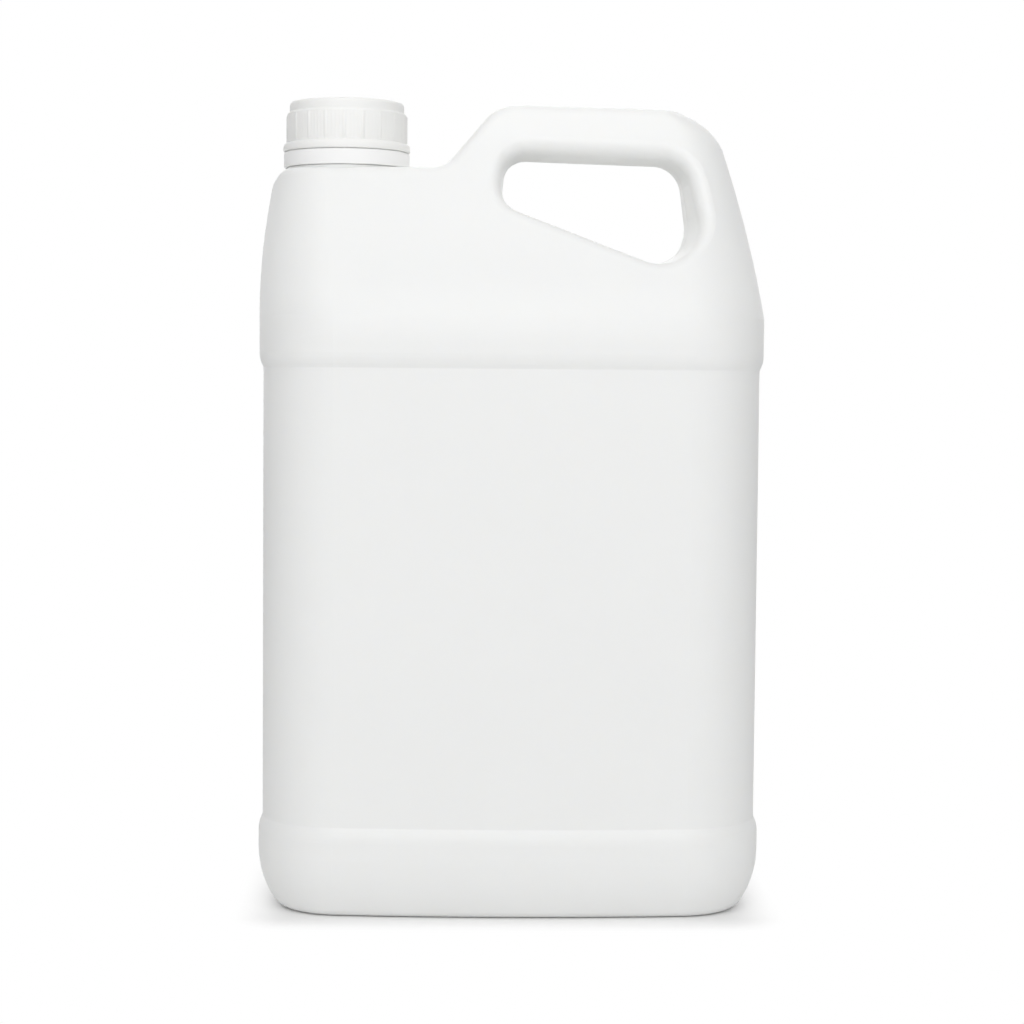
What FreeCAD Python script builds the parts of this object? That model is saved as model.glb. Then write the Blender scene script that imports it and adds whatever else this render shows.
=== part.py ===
"""Five litre blow-moulded jug with a through handle and a tamper-evident screw cap.

The jug stands on its base with +Z up.  The origin is the middle of the base, +X points
to the handle's back and -Y to the flat front.  Every length is in millimetres.
"""
import FreeCAD, Part
import math
import os
import re

import Sketcher
from FreeCAD import Vector

# --------------------------------------------------------------------------------------
# Driving dimensions (each one becomes a cell of the sheet, under the same name)
# --------------------------------------------------------------------------------------
SIZES = {
    # blown body, plan view
    "body_width": 190.0,
    "body_depth": 118.0,
    "crown_radius": 780.0,         # front and back are slightly crowned
    "corner_radius": 32.0,
    "wall": 1.2,
    # blown body, from the floor up
    "base_round_height": 22.5,     # where the base rounding meets the side
    "base_round_radius": 36.5,
    "base_slope": 59.0,            # between the base rounding and the toe
    "toe_radius": 6.0,
    "push_up_inset": 17.0,         # the base is pushed up inside a standing rim
    "push_up_depth": 2.5,
    "push_up_slope": 45.0,
    "panel_recess": 1.5,
    "panel_bottom": 34.5,
    "ledge_lean": 23.8,            # of the sloped ledge at either end of the panel
    "ledge_radius": 10.0,          # its soft outer corner
    "ledge_root_radius": 0.8,
    "band_width": 15.8,            # the plain band between the panel and the shoulder
    "shoulder_height": 223.0,
    # shoulder and handle: plan sections at four more levels, inset from the body's ends
    "mid_rise": 34.0,
    "mid_left_inset": 0.9,
    "mid_right_inset": 5.6,
    "mid_fullness": 0.46,          # its depth, between the grip's (0) and the body's (1)
    "mid_corner_radius": 27.0,
    "grip_drop": 15.3,
    "grip_left_inset": 6.4,
    "grip_right_inset": 14.1,
    "grip_half_depth": 21.2,
    "grip_corner_radius": 17.8,
    "bend_drop": 6.4,
    "bend_left_inset": 8.0,
    "bend_right_inset": 21.4,
    "bend_half_depth": 16.9,
    "bend_corner_radius": 14.2,
    "tip_rise": 0.7,
    "tip_left_inset": 10.0,
    "tip_right_inset": 37.5,
    "tip_half_depth": 14.2,
    "tip_corner_radius": 12.0,
    # outline of the top: shelf, slope up to the handle, handle, rounding down its back
    "shelf_rise": 56.3,            # above the shoulder
    "shelf_end_inset": 8.1,        # beyond it the shelf rounds down to the neck's side
    "shelf_end_angle": 50.0,
    "shelf_end_radius": 8.0,
    "slope_reach": 37.8,           # from the neck to the foot of the slope
    "slope_angle": 51.0,
    "slope_foot_radius": 10.0,
    "slope_crest_radius": 16.0,
    "handle_rise": 24.6,           # above the shelf
    "handle_fall": 0.8,            # degrees
    "top_edge_radius": 4.5,
    # hole through the handle: four sides at a distance from its centre
    "hole_inset": 63.0,            # its centre, from the handle's back and from its top
    "hole_drop": 37.9,
    "hole_top": 17.7,
    "hole_top_angle": 178.3,
    "hole_bottom": 13.3,
    "hole_bottom_angle": -21.0,
    "hole_left": 36.4,
    "hole_left_angle": -96.0,
    "hole_right": 34.8,
    "hole_right_angle": 99.4,
    "hole_left_radius": 9.0,
    "hole_top_right_radius": 11.0,
    "hole_bottom_right_radius": 14.5,
    "hole_draft": 2.0,
    "hole_edge_radius": 4.6,
    # neck
    "neck_inset": 31.2,
    "neck_radius": 18.9,
    "neck_wall": 2.0,
    "neck_flange_reach": 2.5,
    "neck_flange_height": 1.3,
    "lock_bead_reach": 2.0,
    "lock_bead_height": 2.0,
    "rim_rise": 23.1,              # above the shelf
    # thread on the neck and in the cap
    "thread_pitch": 4.5,
    "thread_turns": 1.75,
    "thread_depth": 1.2,
    "thread_root_width": 2.0,
    "thread_crest_width": 0.9,
    "thread_rise": 3.8,            # from the cap's lower edge to the neck's ridge
    "thread_clearance": 0.35,      # between the flanks of the two ridges
    "thread_gap": 0.4,             # between a crest and the wall it faces
    # cap
    "cap_top_thickness": 1.6,
    "cap_edge_radius": 1.5,
    "cap_wall": 1.8,
    "cap_bead_reach": 2.1,
    "cap_bead_height": 3.2,
    "cap_bead_root": 0.4,          # between the bead and the ribbed wall
    "knurl_rise": 3.3,             # from the cap's lower edge to the ribs
    "knurl_drop": 4.8,             # from the cap's top down to the ribs
    "knurl_height": 0.55,
    "knurl_bold_height": 1.15,
    "knurl_width": 0.75,
    "knurl_bold_width": 1.5,
    "knurl_groups": 20.0,
    # liner and tamper ring
    "liner_thickness": 1.3,
    "liner_clearance": 0.25,
    "ring_height": 4.8,
    "ring_gap": 0.5,
    "ring_setback": 0.2,           # how far it stands back from the cap's bead
    "ring_edge_radius": 2.0,
    "ring_wall": 1.5,
    "ring_clearance": 0.3,
    "ring_lip": 1.4,
    "bridge_count": 12.0,
    "bridge_width": 0.8,
    "bridge_gap": 0.08,
}

# Places and fits that follow from the sizes above, each under a name of its own
DERIVED = {
    "core_inset": "corner_radius / 2",       # how far inside the outline the core's side runs
    "core_lap": "wall * 4",                  # how far the swept wall reaches into the core
    "base_corner": "base_round_height - base_round_radius * tan(45 - base_slope / 2)",
    "panel_slope": "panel_recess / tan(ledge_lean)",
    "panel_top": "shoulder_height - band_width - panel_slope",
    "shelf_height": "shoulder_height + shelf_rise",
    "handle_height": "shelf_height + handle_rise",
    "mid_height": "shoulder_height + mid_rise",
    "mid_left": "body_width / 2 - mid_left_inset",
    "mid_right": "body_width / 2 - mid_right_inset",
    "mid_half_depth": "grip_half_depth + (body_depth / 2 - grip_half_depth) * mid_fullness",
    "grip_height": "handle_height - grip_drop",
    "grip_left": "body_width / 2 - grip_left_inset",
    "grip_right": "body_width / 2 - grip_right_inset",
    "bend_height": "handle_height - bend_drop",
    "bend_left": "body_width / 2 - bend_left_inset",
    "bend_right": "body_width / 2 - bend_right_inset",
    "tip_height": "handle_height + tip_rise",
    "tip_left": "body_width / 2 - tip_left_inset",
    "tip_right": "body_width / 2 - tip_right_inset",
    "shelf_end_x": "shelf_end_inset - body_width / 2",
    "slope_foot_x": "neck_x + slope_reach",
    "hole_x": "body_width / 2 - hole_inset",
    "hole_height": "handle_height - hole_drop",
    "neck_x": "neck_inset - body_width / 2",
    "neck_flange_radius": "neck_radius + neck_flange_reach",
    "lock_bead_radius": "neck_radius + lock_bead_reach",
    "rim_height": "shelf_height + rim_rise",
    "ring_bottom": "shelf_height + neck_flange_height + ring_clearance",
    "bead_face": "ring_bottom + ring_lip + ring_clearance",   # the ring's lip is caught under it
    "ring_top": "ring_bottom + ring_height",
    "ring_radius": "cap_bead_radius - ring_setback",
    "cap_bottom": "ring_top + ring_gap",
    "cap_top": "rim_height + liner_thickness + cap_top_thickness",
    "cap_bore": "neck_radius + thread_depth + thread_gap",
    "cap_radius": "cap_bore + cap_wall",
    "cap_bead_radius": "cap_radius + cap_bead_reach",
    "cap_bead_rounding": "cap_bead_height * 0.45",            # nearly a half round
    "knurl_bottom": "cap_bottom + knurl_rise",
    "knurl_top": "cap_top - knurl_drop",
    "thread_start": "cap_bottom + thread_rise",
    # the cap's ridge lies under the neck's ridge, a flank's clearance away
    "cap_thread_start": "thread_start - (thread_root_width + thread_crest_width) / 2 - thread_clearance",
}

os.makedirs("parts", exist_ok=True)
doc = FreeCAD.newDocument("jug")
sheet = doc.addObject("Spreadsheet::Sheet", "Sizes")
for row, (alias, value) in enumerate(SIZES.items(), start=1):
    sheet.set(f"A{row}", alias)
    sheet.set(f"B{row}", str(value))
    sheet.setAlias(f"B{row}", alias)
doc.recompute()


# --------------------------------------------------------------------------------------
# Sketch helpers: every point, distance, angle and radius is bound to an expression
# --------------------------------------------------------------------------------------
def amount(expression):
    """The present value of an expression such as 'Sizes.wall * 2'."""
    value = sheet.evalExpression(expression)
    return float(getattr(value, "Value", value))


def named(text):
    """Turn size names into references to the sheet, and derived names into their formulas."""
    def formula(word):
        name = word[0]
        if name in DERIVED:
            return f"({named(DERIVED[name])})"
        return f"Sizes.{name}" if name in SIZES else name

    return re.sub(r"[a-z_]+", formula, text)


def bind(sketch, kind, *references, size):
    """Add one dimension to a sketch and bind it to an expression."""
    expression = named(size)
    datum = amount(expression)
    if kind == "Angle":
        datum = math.radians(datum)
    index = sketch.addConstraint(Sketcher.Constraint(kind, *references, datum))
    sketch.setExpression(f"Constraints[{index}]", expression)
    return index


def new_sketch(body, role, name, lift=None):
    """A sketch on one of the body's own origin planes, lifted off it if asked."""
    sketch = body.newObject("Sketcher::SketchObject", name)
    plane = next(item for item in body.Origin.OriginFeatures if item.Role == role)
    sketch.AttachmentSupport = [(plane, "")]
    sketch.MapMode = "FlatFace"
    if lift is not None:
        sketch.setExpression("AttachmentOffset.Base.z", named(lift))
    return sketch


def line_between(start, end):
    return Part.LineSegment(Vector(*start, 0), Vector(*end, 0))


def polygon(sketch, corners):
    """A closed outline through corners given as (x, y) expressions."""
    points = [(amount(named(x)), amount(named(y))) for x, y in corners]
    lines = [sketch.addGeometry(line_between(point, points[(index + 1) % len(points)]))
             for index, point in enumerate(points)]
    for index, (x, y) in enumerate(corners):
        sketch.addConstraint(Sketcher.Constraint("Coincident", lines[index - 1], 2, lines[index], 1))
        bind(sketch, "DistanceX", -1, 1, lines[index], 1, size=x)
        bind(sketch, "DistanceY", -1, 1, lines[index], 1, size=y)
    return lines


def rounded_outline(sketch, sides):
    """A closed outline of straight sides, each joined to the next by a tangent arc.

    A side is (x, y, angle, radius): a point on it, its heading in degrees, and the
    radius of the arc to the next side ("0" for a sharp corner).  All are expressions.
    """
    count = len(sides)
    places = [tuple(amount(named(text)) for text in side) for side in sides]
    headings = [Vector(math.cos(math.radians(a)), math.sin(math.radians(a)), 0) for _, _, a, _ in places]
    corners = []
    cuts = []
    for index in range(count):
        first, second = headings[index], headings[(index + 1) % count]
        here, there = places[index], places[(index + 1) % count]
        gap = Vector(there[0] - here[0], there[1] - here[1], 0)
        along = gap.cross(second).z / first.cross(second).z
        corners.append(Vector(here[0], here[1], 0) + first * along)
        cuts.append(here[3] * math.tan(first.getAngle(second) / 2))
    lines = []
    for index, (x, y, angle, _) in enumerate(sides):
        start = corners[index - 1] + headings[index] * cuts[index - 1]
        end = corners[index] - headings[index] * cuts[index]
        lines.append(sketch.addGeometry(Part.LineSegment(start, end)))
        mark = sketch.addGeometry(Part.Point(Vector(places[index][0], places[index][1], 0)), True)
        bind(sketch, "DistanceX", -1, 1, mark, 1, size=x)
        bind(sketch, "DistanceY", -1, 1, mark, 1, size=y)
        sketch.addConstraint(Sketcher.Constraint("PointOnObject", mark, 1, lines[index]))
        bind(sketch, "Angle", lines[index], size=angle)
    for index in range(count):
        following = (index + 1) % count
        if cuts[index] == 0:
            sketch.addConstraint(Sketcher.Constraint("Coincident", lines[index], 2, lines[following], 1))
            continue
        first, second = headings[index], headings[following]
        turn = 1 if first.cross(second).z > 0 else -1
        start = corners[index] - first * cuts[index]
        end = corners[index] + second * cuts[index]
        centre = start + Vector(-first.y, first.x, 0) * (places[index][3] * turn)
        angles = [math.atan2(point.y - centre.y, point.x - centre.x) for point in (start, end)][::turn]
        circle = Part.Circle(centre, Vector(0, 0, 1), places[index][3])
        arc = sketch.addGeometry(Part.ArcOfCircle(circle, *angles))
        near, far = (1, 2)[::turn]
        sketch.addConstraint(Sketcher.Constraint("Tangent", lines[index], 2, arc, near))
        sketch.addConstraint(Sketcher.Constraint("Tangent", arc, far, lines[following], 1))
        bind(sketch, "Radius", arc, size=sides[index][3])
    return sketch


def plan_outline(sketch, left, right, half_depth, corner_radius, inset, split=False):
    """The jug in plan: flat ends, crowned front and back, and four rounded corners.

    A split outline starts and ends at the middle of its right end, where a section that
    is swept round it is drawn.
    """
    crown_text = f"crown_radius - {inset}"
    corner_text = f"{corner_radius} - {inset}"
    depth_text = f"{half_depth} - {inset}"
    crown, rounding, depth = (amount(named(text)) for text in (crown_text, corner_text, depth_text))
    ends = {1: f"{right} - {inset}", -1: f"{left} - {inset}"}
    reach = {side: amount(named(text)) for side, text in ends.items()}
    apex = crown - depth
    # corner centres, for each end: tangent to the end line and inside the crown arc
    middle = {side: reach[side] - rounding for side in (1, -1)}
    level = {side: math.sqrt((crown - rounding) ** 2 - middle[side] ** 2) - apex for side in (1, -1)}
    lean = {side: math.atan2(middle[side], level[side] + apex) for side in (1, -1)}

    def arc(x, y, radius, first, last):
        return sketch.addGeometry(Part.ArcOfCircle(Part.Circle(Vector(x, y, 0), Vector(0, 0, 1), radius), first, last))

    right_end = sketch.addGeometry(line_between((reach[1], 0 if split else -level[1]), (reach[1], level[1])))
    back_right = arc(middle[1], level[1], rounding, 0, math.pi / 2 - lean[1])
    back = arc(0, -apex, crown, math.pi / 2 - lean[1], math.pi / 2 + lean[-1])
    back_left = arc(-middle[-1], level[-1], rounding, math.pi / 2 + lean[-1], math.pi)
    left_down = sketch.addGeometry(line_between((-reach[-1], level[-1]), (-reach[-1], -level[-1])))
    front_left = arc(-middle[-1], -level[-1], rounding, math.pi, 1.5 * math.pi - lean[-1])
    front = arc(0, apex, crown, 1.5 * math.pi - lean[-1], 1.5 * math.pi + lean[1])
    front_right = arc(middle[1], -level[1], rounding, 1.5 * math.pi + lean[1], 2 * math.pi)
    chain = [right_end, back_right, back, back_left, left_down, front_left, front, front_right]
    if split:
        lower_end = sketch.addGeometry(line_between((reach[1], -level[1]), (reach[1], 0)))
        sketch.addConstraint(Sketcher.Constraint("Coincident", lower_end, 2, right_end, 1))
        sketch.addConstraint(Sketcher.Constraint("PointOnObject", right_end, 1, -1))
        sketch.addConstraint(Sketcher.Constraint("Vertical", lower_end))
        chain.append(lower_end)
    else:
        chain.append(right_end)
    for first, second in zip(chain, chain[1:]):
        sketch.addConstraint(Sketcher.Constraint("Tangent", first, 2, second, 1))
    sketch.addConstraint(Sketcher.Constraint("Vertical", right_end))
    bind(sketch, "DistanceX", -1, 1, right_end, 1, size=ends[1])
    sketch.addConstraint(Sketcher.Constraint("Vertical", left_down))
    bind(sketch, "DistanceX", left_down, 1, -1, 1, size=ends[-1])
    for crown_arc, sign in ((back, "-1"), (front, "1")):
        sketch.addConstraint(Sketcher.Constraint("PointOnObject", crown_arc, 3, -2))
        bind(sketch, "Radius", crown_arc, size=crown_text)
        bind(sketch, "DistanceY", -1, 1, crown_arc, 3, size=f"(crown_radius - {half_depth}) * {sign}")
    for corner_arc in (back_right, back_left, front_left, front_right):
        bind(sketch, "Radius", corner_arc, size=corner_text)
    return sketch


# --------------------------------------------------------------------------------------
# The blown form: made once for the outside and once, smaller by the wall, for the inside
# --------------------------------------------------------------------------------------


def set_sizes(feature, **sizes):
    """Bind properties of a feature to expressions."""
    for prop, text in sizes.items():
        feature.setExpression(prop, named(text))


def pad(body, sketch, name, length):
    feature = body.newObject("PartDesign::Pad", name)
    feature.Profile = sketch
    set_sizes(feature, Length=length)
    return feature


def cut_through(body, sketch, name, draft=None):
    """Cut a sketch on the XZ plane through the whole depth, both ways."""
    doc.recompute()
    before = body.Shape.Volume
    feature = body.newObject("PartDesign::Pocket", name)
    feature.Profile = sketch
    feature.SideType = "Symmetric"
    set_sizes(feature, Length="body_depth * 2")
    if draft is not None:
        set_sizes(feature, TaperAngle=draft)
    doc.recompute()
    if body.Shape.Volume >= before:
        raise RuntimeError(f"{name} cut nothing")
    return feature


def edges_between(shape, first_kind, second_kind):
    """Names of the edges that part a face of one kind from a face of the other."""
    owners = {}
    for face in shape.Faces:
        for edge in face.Edges:
            owners.setdefault(edge.hashCode(), []).append(face)
    names = []
    for index, edge in enumerate(shape.Edges, start=1):
        faces = owners[edge.hashCode()]
        if len(faces) == 2:
            first, second = faces
            if (first_kind(first) and second_kind(second)) or (first_kind(second) and second_kind(first)):
                names.append(f"Edge{index}")
    return names


def is_shoulder(face):
    return isinstance(face.Surface, Part.BSplineSurface)


def is_top(face):
    """The flats and arcs of the top outline run straight through the jug along Y."""
    surface = face.Surface
    if face.CenterOfMass.z < amount("Sizes.shoulder_height"):
        return False
    if isinstance(surface, Part.Cylinder):
        return abs(surface.Axis.y) > 0.999
    return isinstance(surface, Part.Plane) and abs(surface.Axis.y) < 1e-6


def is_hole(face):
    """The hole's sides lean away from Y by the draft."""
    surface = face.Surface
    if isinstance(surface, Part.Cone):
        return face.CenterOfMass.z > amount("Sizes.shoulder_height")
    return isinstance(surface, Part.Plane) and 1e-6 < abs(surface.Axis.y) < 0.5


def fillet(body, name, edges, radius):
    feature = body.newObject("PartDesign::Fillet", name)
    feature.Base = (body.Group[-2], edges)
    set_sizes(feature, Radius=radius)
    doc.recompute()
    return feature


def wall_profile(sketch, inset):
    """Half of the side wall in section: toe, base rounding, ledge, panel, ledge, band."""
    inward = {
        "slope": (f"{inset} * sin(base_slope)", f"{inset} * cos(base_slope)"),
        "ledge": (f"{inset} * cos(ledge_lean)", f"{inset} * sin(ledge_lean)"),
    }
    side = f"body_width / 2 - {inset}"
    ledge_x = f"body_width / 2 - {inward['ledge'][0]}"
    convex, hollow = f"ledge_radius - {inset}", f"ledge_root_radius + {inset}"
    return rounded_outline(sketch, [
        ("0", inset, "0", f"toe_radius - {inset}"),
        (f"body_width / 2 - {inward['slope'][0]}", f"base_corner + {inward['slope'][1]}", "base_slope",
         f"base_round_radius - {inset}"),
        (side, "base_round_height", "90", convex),
        (ledge_x, f"panel_bottom - panel_slope - {inward['ledge'][1]}", "90 + ledge_lean", hollow),
        (f"{side} - panel_recess", "panel_bottom", "90", hollow),
        (ledge_x, f"panel_top + panel_slope + {inward['ledge'][1]}", "90 - ledge_lean", convex),
        (side, "shoulder_height", "90", "0"),
        ("0", "shoulder_height", "180", "0"),
        ("body_width / 2 - core_inset - core_lap", "0", "-90", "0"),
    ])


def section_sizes(level, drop="0"):
    """The height (less a drop) and plan sizes of one named section."""
    plan = tuple(f"{level}_{size}" for size in ("left", "right", "half_depth", "corner_radius"))
    return (f"{level}_height - {drop}", *plan)


def loft(body, name, inset, levels):
    """A smooth loft through plan outlines at rising levels."""
    outlines = []
    for index, (height, *sizes) in enumerate(levels, start=1):
        sketch = new_sketch(body, "XY_Plane", f"{name}_plan_{index}", lift=height)
        outlines.append(plan_outline(sketch, *sizes, inset))
    feature = body.newObject("PartDesign::AdditiveLoft", name)
    feature.Profile = outlines[0]
    feature.Sections = outlines[1:]
    return feature


def blown_form(name, inset):
    """The jug's closed form without its neck, smaller all round by the inset."""
    body = doc.addObject("PartDesign::Body", name)

    # side wall swept round the plan outline, and a core that fills it
    plan = new_sketch(body, "XY_Plane", f"{name}_plan", lift=inset)
    plan_outline(plan, "body_width / 2", "body_width / 2", "body_depth / 2", "corner_radius", inset, split=True)
    section = wall_profile(new_sketch(body, "XZ_Plane", f"{name}_section"), inset)
    doc.recompute()
    wall = body.newObject("PartDesign::AdditivePipe", f"{name}_wall")
    wall.Profile = section
    wall.Spine = (plan, [f"Edge{index + 1}" for index in range(len(plan.Shape.Edges))])
    core_plan = new_sketch(body, "XY_Plane", f"{name}_core_plan", lift=inset)
    plan_outline(core_plan, "body_width / 2", "body_width / 2", "body_depth / 2", "corner_radius", "core_inset")
    pad(body, core_plan, f"{name}_core", f"shoulder_height - {inset}")

    # shoulder and handle: two lofts through plan outlines, which meet above the hole
    loft(body, f"{name}_shoulder", inset, [
        ("shoulder_height", "body_width / 2", "body_width / 2", "body_depth / 2", "corner_radius"),
        section_sizes("mid"),
        section_sizes("grip"),
    ])
    loft(body, f"{name}_handle", inset, [
        section_sizes("grip"),
        section_sizes("bend", drop=inset),
        section_sizes("tip", drop=inset),
    ])


    # what is cut away above the shelf, the slope and the handle
    above = rounded_outline(new_sketch(body, "XZ_Plane", f"{name}_above"), [
        ("neck_x", f"shelf_height - {inset}", "0", f"slope_foot_radius + {inset}"),
        (f"slope_foot_x + {inset} * tan(slope_angle / 2)", f"shelf_height - {inset}", "slope_angle",
         f"slope_crest_radius - {inset}"),
        ("0", f"handle_height - {inset}", "0 - handle_fall", "0"),
        ("body_width", "shelf_height", "90", "0"),
        ("0", "tip_height * 2", "180", "0"),
        ("0 - body_width", "shelf_height", "-90", "0"),
        (f"shelf_end_x + {inset} * tan(shelf_end_angle / 2)", f"shelf_height - {inset}", "shelf_end_angle",
         f"shelf_end_radius - {inset}"),
    ])
    cut_through(body, above, f"{name}_top_cut")

    # hole behind the handle, opening towards both faces
    hole = new_sketch(body, "XZ_Plane", f"{name}_hole_outline")
    sides = []
    for side, radius in (("bottom", "bottom_right"), ("right", "top_right"), ("top", "left"), ("left", "left")):
        distance = f"(hole_{side} + {inset})"
        angle = f"hole_{side}_angle"
        sides.append((f"hole_x + {distance} * sin({angle})", f"hole_height - {distance} * cos({angle})",
                      angle, f"hole_{radius}_radius + {inset}"))
    rounded_outline(hole, sides)
    cut_through(body, hole, f"{name}_hole", draft="hole_draft")

    # the base is pushed up inside its standing rim
    raised = new_sketch(body, "XY_Plane", f"{name}_raised", lift=inset)
    plan_outline(raised, "body_width / 2", "body_width / 2", "body_depth / 2", "corner_radius",
                 f"(push_up_inset - {inset})")
    push_up = body.newObject("PartDesign::Pocket", f"{name}_push_up")
    push_up.Profile = raised
    push_up.Reversed = True
    set_sizes(push_up, Length="push_up_depth", TaperAngle="0 - push_up_slope")
    doc.recompute()

    # soft edges: round the hole on both faces, and all along the top
    fillet(body, f"{name}_hole_edges", edges_between(body.Shape, is_hole, is_shoulder), f"hole_edge_radius - {inset}")
    fillet(body, f"{name}_top_edges", edges_between(body.Shape, is_top, is_shoulder), f"top_edge_radius - {inset}")
    return body


def revolved(body, name, draw, outline):
    """Turn a closed outline, drawn in radius and height, about the body's own vertical axis."""
    sketch = new_sketch(body, "XZ_Plane", f"{name}_section")
    draw(sketch, outline)
    feature = body.newObject("PartDesign::Revolution", name)
    feature.Profile = sketch
    feature.ReferenceAxis = (sketch, ["V_Axis"])
    feature.Angle = 360
    return feature


def threaded(body, name, root, crest, middle):
    """A ridge that winds up from the given height; its root is sunk into the wall."""
    sketch = new_sketch(body, "XZ_Plane", f"{name}_section")
    polygon(sketch, [
        (root, f"{middle} - thread_root_width / 2"),
        (crest, f"{middle} - thread_crest_width / 2"),
        (crest, f"{middle} + thread_crest_width / 2"),
        (root, f"{middle} + thread_root_width / 2"),
    ])
    feature = body.newObject("PartDesign::AdditiveHelix", name)
    feature.Profile = sketch
    feature.ReferenceAxis = (sketch, ["V_Axis"])
    feature.Mode = "pitch-turns-angle"
    set_sizes(feature, Pitch="thread_pitch", Turns="thread_turns")
    return feature


def neck_body(name):
    """A body whose own axis is the neck's."""
    body = doc.addObject("PartDesign::Body", name)
    set_sizes(body, **{"Placement.Base.x": "neck_x"})
    return body


# --------------------------------------------------------------------------------------
# Neck: flange, lock bead for the tamper ring, thread and sealing rim
# --------------------------------------------------------------------------------------
neck = neck_body("neck_finish")
revolved(neck, "neck_turned", polygon, [
    ("0", "shelf_height - wall"),
    ("neck_flange_radius", "shelf_height - wall"),
    ("neck_flange_radius", "shelf_height + neck_flange_height"),
    ("neck_radius", "shelf_height + neck_flange_height"),
    ("neck_radius", "bead_face"),
    ("lock_bead_radius", "bead_face"),
    ("lock_bead_radius", "bead_face + lock_bead_height / 3"),
    ("neck_radius", "bead_face + lock_bead_height"),
    ("neck_radius", "rim_height"),
    ("0", "rim_height"),
])
threaded(neck, "neck_thread", "neck_radius - neck_wall / 4", "neck_radius + thread_depth", "thread_start")

bore = doc.addObject("Part::Cylinder", "neck_bore")
set_sizes(bore, Radius="neck_radius - neck_wall", Height="rim_height - shelf_height + wall * 4",
          **{"Placement.Base.x": "neck_x", "Placement.Base.z": "shelf_height - wall * 3"})

# --------------------------------------------------------------------------------------
# Jug: outside and neck, less the inside and the bore
# --------------------------------------------------------------------------------------
outside = doc.addObject("Part::MultiFuse", "outside")
outside.Shapes = [blown_form("outer_form", "0"), neck]
inside = doc.addObject("Part::MultiFuse", "inside")
inside.Shapes = [blown_form("cavity_form", "wall"), bore]
jug = doc.addObject("Part::Cut", "jug_body")
jug.Base = outside
jug.Tool = inside

# --------------------------------------------------------------------------------------
# Screw cap: turned shell, inner thread, grip ribs (every few of them bold)
# --------------------------------------------------------------------------------------
RIBS_PER_GROUP = 5

cap = neck_body("screw_cap")
revolved(cap, "cap_shell", rounded_outline, [
    ("cap_bore", "cap_bottom", "0", "cap_bead_rounding"),
    ("cap_bead_radius", "cap_bottom", "90", "cap_bead_rounding"),
    ("cap_radius", "cap_bottom + cap_bead_height", "180", "cap_bead_root"),
    ("cap_radius", "cap_bottom", "90", "cap_edge_radius"),
    ("0", "cap_top", "180", "0"),
    ("0", "cap_top", "-90", "0"),
    ("0", "cap_top - cap_top_thickness", "0", "0"),
    ("cap_bore", "cap_bottom", "-90", "0"),
])
threaded(cap, "cap_thread", "cap_bore + cap_wall / 4", "cap_bore - thread_depth", "cap_thread_start")


def ribs(body, name, width, height, count):
    """A rib standing on the cap's side, repeated round it."""
    sketch = new_sketch(body, "XY_Plane", f"{name}_plan", lift="knurl_bottom")
    polygon(sketch, [
        ("cap_radius - cap_wall / 4", f"0 - {width} / 2"),
        (f"cap_radius + {height}", f"0 - {width} / 4"),
        (f"cap_radius + {height}", f"{width} / 4"),
        ("cap_radius - cap_wall / 4", f"{width} / 2"),
    ])
    rib = pad(body, sketch, name, "knurl_top - knurl_bottom")
    pattern = body.newObject("PartDesign::PolarPattern", f"{name}_round")
    pattern.Originals = [rib]
    pattern.Axis = (sketch, ["N_Axis"])
    pattern.Angle = 360
    set_sizes(pattern, Occurrences=count)
    body.Tip = pattern


ribs(cap, "fine_rib", "knurl_width", "knurl_height", f"knurl_groups * {RIBS_PER_GROUP}")
ribs(cap, "bold_rib", "knurl_bold_width", "knurl_bold_height", "knurl_groups")

# --------------------------------------------------------------------------------------
# Liner pressed between the cap and the neck's rim
# --------------------------------------------------------------------------------------
liner = doc.addObject("Part::Cylinder", "cap_liner")
set_sizes(liner, Radius="cap_bore - liner_clearance", Height="liner_thickness",
          **{"Placement.Base.x": "neck_x", "Placement.Base.z": "rim_height"})

# --------------------------------------------------------------------------------------
# Tamper ring: its lip is caught under the lock bead, its bridges reach for the cap
# --------------------------------------------------------------------------------------
ring = neck_body("tamper_ring")
revolved(ring, "ring_turned", rounded_outline, [
    ("neck_radius + ring_clearance", "ring_bottom", "0", "ring_edge_radius"),
    ("ring_radius", "ring_bottom", "90", "0"),
    ("ring_radius", "ring_top", "180", "0"),
    ("ring_radius - ring_wall", "ring_top", "-90", "0"),
    ("ring_radius - ring_wall", "ring_bottom + ring_lip", "180", "0"),
    ("neck_radius + ring_clearance", "ring_bottom", "-90", "0"),
])
bridge_plan = new_sketch(ring, "XY_Plane", "bridge_plan", lift="ring_top")
polygon(bridge_plan, [
    ("ring_radius - ring_wall * 3 / 4", "0 - bridge_width / 2"),
    ("ring_radius - ring_wall / 4", "0 - bridge_width / 2"),
    ("ring_radius - ring_wall / 4", "bridge_width / 2"),
    ("ring_radius - ring_wall * 3 / 4", "bridge_width / 2"),
])
bridge = pad(ring, bridge_plan, "bridge", "ring_gap - bridge_gap")
bridges = ring.newObject("PartDesign::PolarPattern", "bridge_round")
bridges.Originals = [bridge]
bridges.Axis = (bridge_plan, ["N_Axis"])
bridges.Angle = 360
set_sizes(bridges, Occurrences="bridge_count")
ring.Tip = bridges

# --------------------------------------------------------------------------------------
# Check and write
# --------------------------------------------------------------------------------------
doc.recompute()
for item in doc.Objects:
    if {"Invalid", "Error"} & set(item.State):
        raise RuntimeError(f"{item.Label} failed: {item.State}")
for piece in (jug, cap, liner, ring):
    shape = piece.Shape
    if shape.isNull() or not shape.isValid() or len(shape.Solids) != 1:
        raise RuntimeError(f"{piece.Label} is not one valid solid")
    shape.exportStep(f"parts/{piece.Label}.step")
    print(f"{piece.Label}: {shape.Volume / 1000:.2f} cm3, {len(shape.Faces)} faces")
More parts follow.
